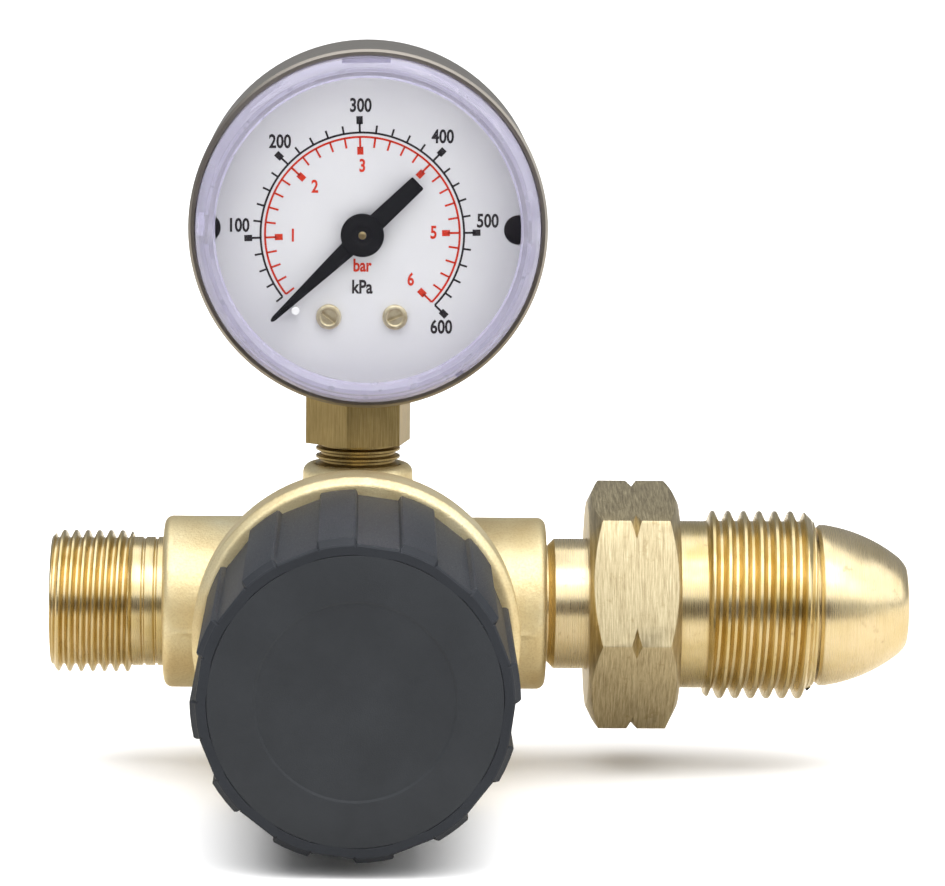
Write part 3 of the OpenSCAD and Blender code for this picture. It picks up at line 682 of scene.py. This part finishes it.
def union_nut():
    """Union nut: a hexagon with chamfered ends and notched corners, a plain shank and a thread."""
    across, turn = 25.4, 100
    corner = across / 2 / math.cos(math.pi / 6)
    hex_length, shank_length, shank_r = 10.5, 3.2, 9.7
    crest, pitch = 10.9, 1.814
    depth = 0.64 * pitch
    root = crest - depth
    bore = 7.62
    hex_end = NUT_START + hex_length
    thread_start = hex_end + shank_length
    face_r, rim_r, chamfer_slope = 11.9, corner + 0.6, 0.5
    chamfer = chamfer_slope * (rim_r - face_r)
    ends = lathe([(0, NUT_START - 1), (face_r - 2, NUT_START - 1), (face_r, NUT_START),
                  (rim_r, NUT_START + chamfer), (rim_r, hex_end - chamfer), (face_r, hex_end),
                  (face_r - 2, hex_end + 1), (0, hex_end + 1)], 192)
    through = lathe([(0, NUT_START - 2), (bore, NUT_START - 2), (bore, hex_end + 2), (0, hex_end + 2)], 96)
    middle_z = (NUT_START + hex_end) / 2
    notch_r, notch_half = 13.7, 0.62
    reach = notch_half * (rim_r - notch_r) / (corner - notch_r)
    notch = lathe([(notch_r, middle_z), (rim_r, middle_z - reach), (rim_r, middle_z + reach)], 192,
                  closed=True)
    hexagon = solid_mesh(hexagon_bar(across, NUT_START, hex_end, turn), bevel=0.18, angle=25, kept=[ends],
                         cutters=[through, notch])
    add_mesh("nut_hexagon", hexagon, INWARD, "union_nut", NUT, ["inlet_nut"])
    helix = thread(root, depth, pitch, thread_start, NUT_END - 0.02, root - 0.7, (0.5, 1.15))
    core = lathe(rounded([
        (bore, hex_end - 1), (shank_r, hex_end - 1), (shank_r, thread_start),
        (root - 0.3, thread_start + 0.4), (root - 0.3, NUT_END, 0.3), (bore, NUT_END),
    ], 3), 128, closed=True)
    add_piece("nut_thread", *joined(core, helix), INWARD, "union_nut", "turned_brass", TURNED_X)


def stem():
    """Stem with a groove behind the nut and a bullnose with a flat tip and an open bore."""
    shoulder = NUT_END + 0.3
    tip = from_knob_axis(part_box("inlet_stem")[1].x)
    stem_r, neck_r, nose_r, plug_r, bore = 7.55, 6.75, 9.35, 6.38, 3.2
    arc_r, arc_height, arc_start, arc_sweep, arc_steps = 18.0, shoulder - 1.5, 8, 30.5, 24
    arc_centre = nose_r - arc_r * math.cos(math.radians(arc_start))
    curve = []
    for i in range(arc_steps + 1):
        a = math.radians(arc_start + arc_sweep * i / arc_steps)
        curve.append((arc_centre + arc_r * math.cos(a), arc_height + arc_r * math.sin(a)))
    outline = rounded([
        (bore, INLET_FACE - 8), (plug_r, INLET_FACE - 8), (plug_r, INLET_FACE), (neck_r, INLET_FACE),
        (neck_r, INLET_FACE + 0.25, 0.1), (stem_r, INLET_FACE + 1.0, 0.15), (stem_r, shoulder),
        (nose_r - 0.35, shoulder), (nose_r, shoulder + 0.4, 0.2)] + curve + [
        (5.2, tip - 0.47), (4.9, tip - 0.22), (4.6, tip - 0.05), (4.3, tip), (bore + 0.1, tip),
        (bore, tip - 0.1),
    ], 4)
    add_piece("bullnose_stem", *lathe(outline, 128, closed=True), INWARD, "regulator", "turned_brass", NOSE,
              ["inlet_stem"])


# ---- knob ----


def knob_outline(pad, base):
    """Outline of the knob: raised pads with a straight chord between neighbours."""
    count, first, half_angle = 12, -83, 6.75
    rising = [(-half_angle - 0.55, base), (-half_angle - 0.12, pad - 0.16), (-half_angle + 0.5, pad),
              (-half_angle / 3, pad)]
    turns = rising + [(-turn, r) for turn, r in reversed(rising)]
    outline = []
    for i in range(count):
        middle_angle = first + 360 / count * i
        for turn, r in turns:
            a = math.radians(middle_angle + turn)
            outline.append((r * math.cos(a), r * math.sin(a)))
    return outline


def knob():
    """Knob with grip pads, hollow behind, and the disc set into its front."""
    pad, base, groove, recess = 17.25, 16.65, 15.5, 1.9
    screw_hole_r, web, hollow_r = 6.0, 53.6, 13.6
    sections = [                # height, reach of the pads, reach between them
        (KNOB_REAR, pad - 0.5, base - 0.5),
        (KNOB_REAR + 0.25, pad - 0.1, base - 0.12),
        (KNOB_REAR + 0.6, pad, base),
        (KNOB_FRONT - 1.15, pad, base),
        (KNOB_FRONT - 0.95, pad - 0.06, base),
        (KNOB_FRONT - 0.35, base + 0.02, base),
        (KNOB_FRONT - 0.12, base - 0.06, base - 0.06),
        (KNOB_FRONT, base - 0.22, base - 0.22),
    ]
    points, faces = [], []
    for z, pad_r, base_r in sections:
        points += [(x, y, z) for x, y in knob_outline(pad_r, base_r)]
    count = len(points) // len(sections)
    rings = [range(k * count, (k + 1) * count) for k in range(len(sections))]

    def inner(r, z):
        rings.append(range(len(points), len(points) + count))
        for x, y, _ in points[:count]:
            reach = math.hypot(x, y)
            points.append((r * x / reach, r * y / reach, z))

    for r, z in ((groove + 0.06, KNOB_FRONT), (groove, KNOB_FRONT - 0.06), (groove, KNOB_FRONT - recess),
                 (screw_hole_r, KNOB_FRONT - recess), (screw_hole_r, web), (hollow_r, web),
                 (hollow_r, KNOB_REAR), (hollow_r + 0.4, KNOB_REAR)):
        inner(r, z)
    for low, high in zip(rings, rings[1:] + [rings[0]]):
        faces += [[low[i], low[(i + 1) % count], high[(i + 1) % count], high[i]] for i in range(count)]
    add_piece("grip_knob", points, faces, FORWARD, "knob_spindle", "black_plastic", KNOB, ["knob"], crease=22)
    rim, dish, disc_rear = groove - 0.03, 10.4, KNOB_FRONT - 1.85
    cap = lathe(rounded([
        (0, disc_rear), (rim, disc_rear), (rim, KNOB_FRONT, 0.12), (dish + 0.25, KNOB_FRONT, 0.15),
        (dish, KNOB_FRONT - 0.16, 0.1), (0, KNOB_FRONT - 0.22),
    ], 4), 160)
    add_piece("knob_disc", *cap, FORWARD, "knob_spindle", "cap_plastic", CAP, ["knob_cap"])


# ---- gauge ----


def lens():
    """Snap-in window: a stepped rim of solid clear plastic, with three notches, round a flat pane."""
    window_r, rim_r, pane, step = 17.1, 19.4, 1.5, 0.6
    inner_r, seat = window_r + 0.75, DIAL_FRONT + 0.02
    pane_back, pane_front = LENS_FRONT - pane, LENS_FRONT - step
    rim = lathe(rounded([
        (inner_r, seat), (rim_r, seat), (rim_r, CASE_FRONT + 0.3), (rim_r - 0.12, LENS_FRONT - 0.9, 0.1),
        (rim_r - 0.5, LENS_FRONT - 0.35, 0.3), (rim_r - 1.1, LENS_FRONT, 0.3), (inner_r, LENS_FRONT, 0.2),
        (window_r + 0.25, LENS_FRONT - 0.55, 0.15), (window_r, pane_front), (window_r, pane_back),
        (window_r + 0.5, pane_back, 0.2),
    ], 4), 160, closed=True)
    notches = []
    for angle, reach, width, low, high in ((91, 19.3, 5.4, CASE_FRONT + 0.6, LENS_FRONT + 1),
                                           (178, 18.75, 2.6, seat - 1, LENS_FRONT - 1.1),
                                           (-57, 19.3, 0.9, CASE_FRONT + 0.6, LENS_FRONT + 1)):
        near, far, side = reach - 0.55, reach + 0.25, width / 2
        box = extruded([(near, -side), (far, -side), (far, side), (near, side)], low, high)
        notches.append(turned_shape(box, angle))
    add_mesh("lens_rim", solid_mesh(rim, cutters=notches), ON_CASE, "regulator", CLEAR,
             ["gauge_lens"], crease=25)
    plate_r = window_r - 0.02
    plate = lathe([(0, pane_back), (plate_r, pane_back), (plate_r, pane_front), (0, pane_front + 0.08)], 160)
    add_piece("lens_pane", *plate, ON_CASE, "regulator", "clear_plastic", WINDOW)


def band(r, thickness, start, end, z, steps=90):
    """Flat arc of print about the pointer axis."""
    points, faces = [], []
    for i in range(steps + 1):
        a = math.radians(start + (end - start) * i / steps)
        for q in (r - thickness / 2, r + thickness / 2):
            points.append((q * math.cos(a), q * math.sin(a), z))
    faces = [[2 * i, 2 * i + 1, 2 * i + 3, 2 * i + 2] for i in range(steps)]
    return points, faces


def mark(angle, r0, r1, width, z):
    """Flat radial line of print."""
    a = math.radians(angle)
    along, side = Vector((math.cos(a), math.sin(a))), Vector((-math.sin(a), math.cos(a))) * width / 2
    corners = [along * r0 - side, along * r1 - side, along * r1 + side, along * r0 + side]
    return [(c.x, c.y, z) for c in corners], [[0, 1, 2, 3]]


def lettering(text, height, centre, z):
    """Flat print of generic numbers or units."""
    narrow, weight, size_over_height = 0.78, 0.06, 1 / 0.7
    curve = bpy.data.curves.new("print", "FONT")
    curve.body = text
    curve.size = height * size_over_height
    curve.align_x = "CENTER"
    curve.align_y = "CENTER"
    curve.offset = weight
    curve.resolution_u = 3
    thing = bpy.data.objects.new("print", curve)
    bpy.context.scene.collection.objects.link(thing)
    bpy.context.view_layer.update()
    mesh = bpy.data.meshes.new_from_object(thing.evaluated_get(bpy.context.evaluated_depsgraph_get()))
    points = [(v.co.x * narrow + centre[0], v.co.y + centre[1], z) for v in mesh.vertices]
    faces = [list(p.vertices) for p in mesh.polygons]
    bpy.data.objects.remove(thing)
    return points, faces


def dial_print():
    """The two scales: 0 to 600 kPa in black outside, 0 to 6 bar in red inside."""
    z = DIAL_FRONT + 0.02
    zero, sweep, divisions = 227.7, 271.8, 30
    black_r, red_r, line, tick = 11.5, 11.0, 0.24, 0.23
    step = sweep / divisions
    black = [band(black_r, line, zero - step, zero - sweep, z)]
    red = [band(red_r, line, zero - step, zero - sweep, z)]
    for division in range(1, divisions + 1):
        angle = zero - step * division
        if division % 5:
            black.append(mark(angle, black_r, 12.4, tick, z))
            red.append(mark(angle, 9.85, red_r, tick, z))
        else:
            black += [mark(angle, black_r, 12.8, line, z), mark(angle, 12.45, 13.35, 0.72, z)]
            red += [mark(angle, 9.7, red_r, line, z), mark(angle, 9.0, 9.9, 0.70, z)]
    black_words = {"100": (-14.0, 0.85), "200": (-9.35, 10.35), "300": (-0.3, 14.5), "400": (9.0, 11.05),
                   "500": (14.15, 1.55), "600": (9.0, -10.55), "kPa": (0, -6.05)}
    red_words = {"1": (-7.85, -0.25), "2": (-5.4, 5.3), "3": (-0.05, 7.7), "4": (5.3, 5.3),
                 "5": (8.05, 0.2), "6": (5.5, -5.15), "bar": (0, -3.6)}
    black += [lettering(text, 1.5, centre, z) for text, centre in black_words.items()]
    red += [lettering(text, 1.4, centre, z) for text, centre in red_words.items()]
    add_piece("dial_black_print", *joined(*black), ON_POINTER, "regulator", "dial_white", BLACK_INK)
    add_piece("dial_red_print", *joined(*red), ON_POINTER, "regulator", "dial_white", RED_INK)


def needle():
    """Black pointer with a tapered tip, a blunt tail and a pressed hub, on its brass arbor."""
    tip = Vector((-10.27, -9.85))
    reach = tip.length
    z = DIAL_FRONT + 1.2
    tail, half_tail, half_root, corner, thick = 8.65, 0.93, 1.08, 0.1, 0.38
    right = [(reach, 0), (reach - 0.1, -0.16), (reach - 0.5, -0.28), (0, -half_root),
             (-tail + corner, -half_tail), (-tail, -half_tail + corner)]
    left = [(x, -y) for x, y in reversed(right[1:])]
    blade = solid_mesh(extruded(right + left, z, z + thick), bevel=0.07, angle=40)
    blade.transform(Matrix.Rotation(math.atan2(tip.y, tip.x), 4, "Z"))
    add_mesh("pointer_blade", blade, ON_POINTER, "needle", POINTER, ["pointer"])
    hub_r, hole_r = 2.45, 0.46
    hub = lathe(rounded([(hole_r, z - 0.25), (hub_r - 0.15, z - 0.25), (hub_r, z - 0.1, 0.1),
                         (hub_r, z + 0.62, 0.2), (1.2, z + 0.66, 0.1), (0.9, z + 0.5, 0.1),
                         (hole_r, z + 0.5)], 4), 72, closed=True)
    add_piece("pointer_hub", *hub, ON_POINTER, "needle", "pointer_black", POINTER)
    arbor_r = hole_r - 0.02
    arbor = lathe(rounded([(0, z), (arbor_r, z), (arbor_r, z + 0.62, 0.1), (0, z + 0.66)], 4), 32)
    add_piece("arbor_end", *arbor, ON_POINTER, "needle", "movement_brass", MOVEMENT)


def dial_screws():
    """Two slotted screws with a rounded rim, standing on the dial."""
    shank_r, head_r, shank_end, under_head = 0.85, 1.42, 1.4, DIAL_FRONT + 0.01
    half_slot, half_width, slot_floor = 0.95, 0.17, DIAL_FRONT + 0.22
    apart, below = 3.75, 9.4
    for name, side, turn, stands_for in (("dial_screw_left", -1, -38, ["dial_screws"]),
                                         ("dial_screw_right", 1, 20, ())):
        head = lathe(rounded([(0, shank_end), (shank_r, shank_end), (shank_r, under_head),
                              (head_r, under_head), (head_r, DIAL_FRONT + 0.55, 0.25),
                              (1.0, DIAL_FRONT + 0.6, 0.1), (0.88, DIAL_FRONT + 0.45, 0.08),
                              (0, DIAL_FRONT + 0.5)], 4), 64)
        slot = extruded([(-half_slot, -half_width), (half_slot, -half_width), (half_slot, half_width),
                         (-half_slot, half_width)], slot_floor, DIAL_FRONT + 1)
        mesh = solid_mesh(head, cutters=[turned_shape(slot, turn)])
        mesh.transform(Matrix.Translation((side * apart, -below, 0)))
        add_mesh(name, mesh, ON_POINTER, "regulator", SCREW, stands_for)


# ---- build ----

finish_cad_nodes()
forging()
outlet()
union_nut()
stem()
knob()
lens()
dial_print()
needle()
dial_screws()


# ---- studio ----


def sheet(name, corners):
    """Flat four-cornered sheet in the frame."""
    mesh = bpy.data.meshes.new(name)
    mesh.from_pydata(corners, [], [(0, 1, 2, 3)])
    thing = bpy.data.objects.new(name, mesh)
    bpy.context.scene.collection.objects.link(thing)
    return thing


def flat(left, right, near, far, height):
    """Corners of a level rectangle."""
    return [(left, near, height), (right, near, height), (right, far, height), (left, far, height)]


def floor():
    """Pale paper just below the regulator."""
    half, drop = 4.0, 0.0005
    ground = sheet("floor", flat(-half, half, -half, half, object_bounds()[0].z - drop))
    s = Shader("floor_paper", Specular_IOR_Level=0.2)
    tone = s.noise(0.004, detail=2)
    colour = s.mix(tone, (0.90, 0.90, 0.90), (0.93, 0.93, 0.93))
    ground.data.materials.append(s.finish(colour, s.spread(tone, 0.7, 0.8)))
    ground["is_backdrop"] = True


def softbox(name, place, aim, size, power, mirrored=True):
    """Soft lamp; one that isn't mirrored lights surfaces without showing in the brass."""
    lamp = bpy.data.lights.new(name, "AREA")
    lamp.shape = "RECTANGLE"
    lamp.size, lamp.size_y = size
    lamp.energy = power
    thing = bpy.data.objects.new(name, lamp)
    thing.location = place
    thing.rotation_euler = (Vector(aim) - Vector(place)).to_track_quat("-Z", "Y").to_euler()
    thing.visible_glossy = mirrored
    bpy.context.scene.collection.objects.link(thing)


def mirrored_card(name, corners, tone):
    """Card that only shows as a reflection in the brass."""
    card = sheet(name, corners)
    lighter = tuple(1.2 * c for c in tone)
    card.data.materials.append(painted(name + "_cloth", tone, lighter, (0.8, 0.9), 0.0))
    card.visible_camera = False
    card.visible_diffuse = False
    card.visible_transmission = False
    card.visible_shadow = False
    card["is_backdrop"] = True


def cards():
    """A dark card behind the camera and on the floor before it, and a grey one under the regulator."""
    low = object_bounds()[0].z - 0.0002
    left, right, wall, edge, back, top = -0.9, 0.35, -1.0, -0.10, 0.4, 0.32
    dark, grey = (0.04, 0.033, 0.028), (0.46, 0.43, 0.38)
    upright = [(left, wall, low), (right, wall, low), (right, wall, top), (left, wall, top)]
    mirrored_card("dark_wall", upright, dark)
    mirrored_card("dark_floor", flat(left, right, wall, edge, low), dark)
    mirrored_card("grey_floor", flat(left, 0.4, edge, back, low), grey)


def studio():
    """Soft lamps in front, above and beside the regulator, in a pale surrounding."""
    centre = (KNOB_AXIS_X, -0.01, 0.02)
    softbox("ceiling", (0, 0.8, 2.2), (0, 0.8, 0), (4, 4), 125, mirrored=False)
    softbox("front", (0, -1.05, 0.68), centre, (2.4, 0.7), 6.5)
    softbox("key", (-0.15, -0.60, 1.0), centre, (1.6, 0.6), 7)
    softbox("overhead", (0, 0.05, 1.1), centre, (1.6, 0.9), 6)
    softbox("side", (0.9, -0.25, 0.55), centre, (1.1, 0.9), 3.8)
    world = bpy.data.worlds.new("studio")
    world.use_nodes = True
    world.node_tree.nodes["Background"].inputs["Color"].default_value = (0.95, 0.97, 1.0, 1)
    world.node_tree.nodes["Background"].inputs["Strength"].default_value = 0.32
    bpy.context.scene.world = world
    bpy.context.scene.view_settings.view_transform = "Standard"


def camera():
    """Looks at the regulator from in front, a little above."""
    yaw, pitch, roll = math.radians(1.26), math.radians(7.86), math.radians(0.57)
    ahead = Vector((math.sin(yaw) * math.cos(pitch), math.cos(yaw) * math.cos(pitch), -math.sin(pitch)))
    right = ahead.cross(Vector((0, 0, 1))).normalized()
    up = right.cross(ahead)
    turned_right = right * math.cos(roll) + up * math.sin(roll)
    turned_up = -right * math.sin(roll) + up * math.cos(roll)
    turn = Matrix((turned_right, turned_up, -ahead)).transposed().to_4x4()
    data = bpy.data.cameras.new("camera")
    data.sensor_width = 36
    data.lens = 186.04
    data.clip_start = 0.05
    data.clip_end = 20
    place = (KNOB_AXIS_X + 0.93 * MM, -559.56 * MM, 96.02 * MM)
    eye = bpy.data.objects.new("camera", data)
    eye.matrix_world = Matrix.Translation(place) @ turn
    bpy.context.scene.collection.objects.link(eye)
    bpy.context.scene.camera = eye


floor()
cards()
studio()
camera()
